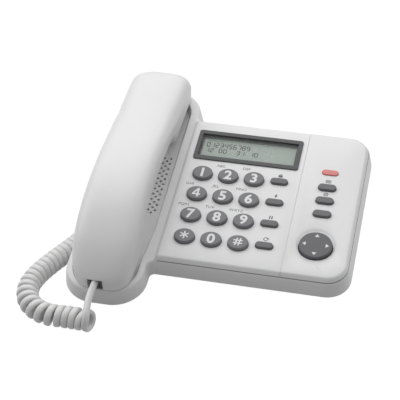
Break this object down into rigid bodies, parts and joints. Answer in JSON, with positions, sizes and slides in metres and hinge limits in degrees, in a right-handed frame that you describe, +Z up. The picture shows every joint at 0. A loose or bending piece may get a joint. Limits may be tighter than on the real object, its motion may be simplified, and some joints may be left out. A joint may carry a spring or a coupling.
{
  "type": "corded landline phone",
  "caption": "Desk telephone with sloping key panel, tilted display, arched handset in a side cradle and a curly handset cord.",
  "frame": {"origin": "centre of the bounding box of the phone without its free cord, at table level", "axes": "+X to the right as the user faces the phone, +Y away from the user, +Z up; the panel leans 14 degrees, its back edge higher"},
  "size_m": [0.2157, 0.223, 0.0803],
  "materials": {
    "white_shell": "fine satin",
    "key_grey": "satin",
    "bezel_grey": "semi-gloss",
    "clear_window": "clear",
    "lcd_glass": "pale grey-green",
    "black_rubber": "matt",
    "pale_rubber": "matt",
    "circuit_board": "matt",
    "lamp_red": "translucent",
    "black_plastic": "matt",
    "steel": "plain",
    "aluminium": "plain",
    "clear_plastic": "clear moulded",
    "cord_white": "soft satin"
  },
  "bodies": {
    "base": {"upper_case": "white_shell", "face_plate": "white_shell", "bottom_case": "white_shell", "display_bezel": "bezel_grey", "display_window": "clear_window", "lcd_panel": "lcd_glass", "lcd_connectors": "black_rubber", "main_board": "circuit_board", "keypad_mat": "pale_rubber", "lamp_lens": "lamp_red", "lamp_led": "clear_window", "loudspeaker": "black_plastic", "ballast_plate": "steel", "line_socket": "black_plastic", "cord_socket": "black_plastic", "hook_switch": "black_plastic", "rubber_feet": "black_rubber", "case_screws": "steel", "board_screws": "steel", "base_plug": "clear_plastic", "cord_base_lead": "cord_white", "cord_coil": "cord_white", "cord_handset_lead": "cord_white"},
    "handset": {"handset_top_shell": "white_shell", "handset_bottom_shell": "white_shell", "receiver_capsule": "black_plastic", "receiver_seal": "black_rubber", "microphone": "aluminium", "microphone_boot": "black_rubber", "handset_weight": "steel", "handset_socket": "black_plastic", "handset_screws": "steel", "handset_plug": "clear_plastic"},
    "hook": {"hook_plunger": "white_shell"},
    "nav_gimbal": {"nav_pivot": "pale_rubber"},
    "nav": {"nav_key": "key_grey"},
    "key_1_body": {"key_1": "key_grey"},
    "key_2_body": {"key_2": "key_grey"},
    "key_3_body": {"key_3": "key_grey"},
    "key_4_body": {"key_4": "key_grey"},
    "key_5_body": {"key_5": "key_grey"},
    "key_6_body": {"key_6": "key_grey"},
    "key_7_body": {"key_7": "key_grey"},
    "key_8_body": {"key_8": "key_grey"},
    "key_9_body": {"key_9": "key_grey"},
    "key_star_body": {"key_star": "key_grey"},
    "key_0_body": {"key_0": "key_grey"},
    "key_hash_body": {"key_hash": "key_grey"},
    "key_lock_body": {"key_lock": "key_grey"},
    "key_flash_body": {"key_flash": "key_grey"},
    "key_pause_body": {"key_pause": "key_grey"},
    "key_redial_body": {"key_redial": "key_grey"},
    "key_function_body": {"key_function": "key_grey"},
    "key_mute_body": {"key_mute": "key_grey"},
    "key_enter_body": {"key_enter": "key_grey"}
  },
  "joints": [
    {"name": "handset_lift", "type": "slide", "parent": "base", "child": "handset", "axis": [0, -0.2419, 0.9703], "range_m": [0, 0.06]},
    {"name": "hook_rise", "type": "slide", "parent": "base", "child": "hook", "axis": [0, -0.2419, 0.9703], "range_m": [0, 0.004]},
    {"name": "press_1", "type": "slide", "parent": "base", "child": "key_1_body", "axis": [0, 0.2419, -0.9703], "range_m": [0, 0.0012], "stiffness_N_per_m": 300, "springref_m": -0.0006},
    {"name": "press_2", "type": "slide", "parent": "base", "child": "key_2_body", "axis": [0, 0.2419, -0.9703], "range_m": [0, 0.0012], "stiffness_N_per_m": 300, "springref_m": -0.0006},
    {"name": "press_3", "type": "slide", "parent": "base", "child": "key_3_body", "axis": [0, 0.2419, -0.9703], "range_m": [0, 0.0012], "stiffness_N_per_m": 300, "springref_m": -0.0006},
    {"name": "press_4", "type": "slide", "parent": "base", "child": "key_4_body", "axis": [0, 0.2419, -0.9703], "range_m": [0, 0.0012], "stiffness_N_per_m": 300, "springref_m": -0.0006},
    {"name": "press_5", "type": "slide", "parent": "base", "child": "key_5_body", "axis": [0, 0.2419, -0.9703], "range_m": [0, 0.0012], "stiffness_N_per_m": 300, "springref_m": -0.0006},
    {"name": "press_6", "type": "slide", "parent": "base", "child": "key_6_body", "axis": [0, 0.2419, -0.9703], "range_m": [0, 0.0012], "stiffness_N_per_m": 300, "springref_m": -0.0006},
    {"name": "press_7", "type": "slide", "parent": "base", "child": "key_7_body", "axis": [0, 0.2419, -0.9703], "range_m": [0, 0.0012], "stiffness_N_per_m": 300, "springref_m": -0.0006},
    {"name": "press_8", "type": "slide", "parent": "base", "child": "key_8_body", "axis": [0, 0.2419, -0.9703], "range_m": [0, 0.0012], "stiffness_N_per_m": 300, "springref_m": -0.0006},
    {"name": "press_9", "type": "slide", "parent": "base", "child": "key_9_body", "axis": [0, 0.2419, -0.9703], "range_m": [0, 0.0012], "stiffness_N_per_m": 300, "springref_m": -0.0006},
    {"name": "press_star", "type": "slide", "parent": "base", "child": "key_star_body", "axis": [0, 0.2419, -0.9703], "range_m": [0, 0.0012], "stiffness_N_per_m": 300, "springref_m": -0.0006},
    {"name": "press_0", "type": "slide", "parent": "base", "child": "key_0_body", "axis": [0, 0.2419, -0.9703], "range_m": [0, 0.0012], "stiffness_N_per_m": 300, "springref_m": -0.0006},
    {"name": "press_hash", "type": "slide", "parent": "base", "child": "key_hash_body", "axis": [0, 0.2419, -0.9703], "range_m": [0, 0.0012], "stiffness_N_per_m": 300, "springref_m": -0.0006},
    {"name": "press_lock", "type": "slide", "parent": "base", "child": "key_lock_body", "axis": [0, 0.2419, -0.9703], "range_m": [0, 0.0012], "stiffness_N_per_m": 300, "springref_m": -0.0006},
    {"name": "press_flash", "type": "slide", "parent": "base", "child": "key_flash_body", "axis": [0, 0.2419, -0.9703], "range_m": [0, 0.0012], "stiffness_N_per_m": 300, "springref_m": -0.0006},
    {"name": "press_pause", "type": "slide", "parent": "base", "child": "key_pause_body", "axis": [0, 0.2419, -0.9703], "range_m": [0, 0.0012], "stiffness_N_per_m": 300, "springref_m": -0.0006},
    {"name": "press_redial", "type": "slide", "parent": "base", "child": "key_redial_body", "axis": [0, 0.2419, -0.9703], "range_m": [0, 0.0012], "stiffness_N_per_m": 300, "springref_m": -0.0006},
    {"name": "press_function", "type": "slide", "parent": "base", "child": "key_function_body", "axis": [0, 0.2419, -0.9703], "range_m": [0, 0.0012], "stiffness_N_per_m": 300, "springref_m": -0.0006},
    {"name": "press_mute", "type": "slide", "parent": "base", "child": "key_mute_body", "axis": [0, 0.2419, -0.9703], "range_m": [0, 0.0012], "stiffness_N_per_m": 300, "springref_m": -0.0006},
    {"name": "press_enter", "type": "slide", "parent": "base", "child": "key_enter_body", "axis": [0, 0.2419, -0.9703], "range_m": [0, 0.0012], "stiffness_N_per_m": 300, "springref_m": -0.0006},
    {"name": "nav_tilt_up_down", "type": "hinge", "parent": "base", "child": "nav_gimbal", "pos_m": [0.06805, -0.03925, 0.02666], "axis": [1, 0, 0], "range_deg": [-4, 4], "stiffness_Nm_per_rad": 0.2},
    {"name": "nav_tilt_left_right", "type": "hinge", "parent": "nav_gimbal", "child": "nav", "pos_m": [0.06805, -0.03925, 0.02666], "axis": [0, 0.9703, 0.2419], "range_deg": [-4, 4], "stiffness_Nm_per_rad": 0.2}
  ],
  "couplings": [
    {"joint": "hook_rise", "follows": "handset_lift", "ratio": 0.066667}
  ]
}
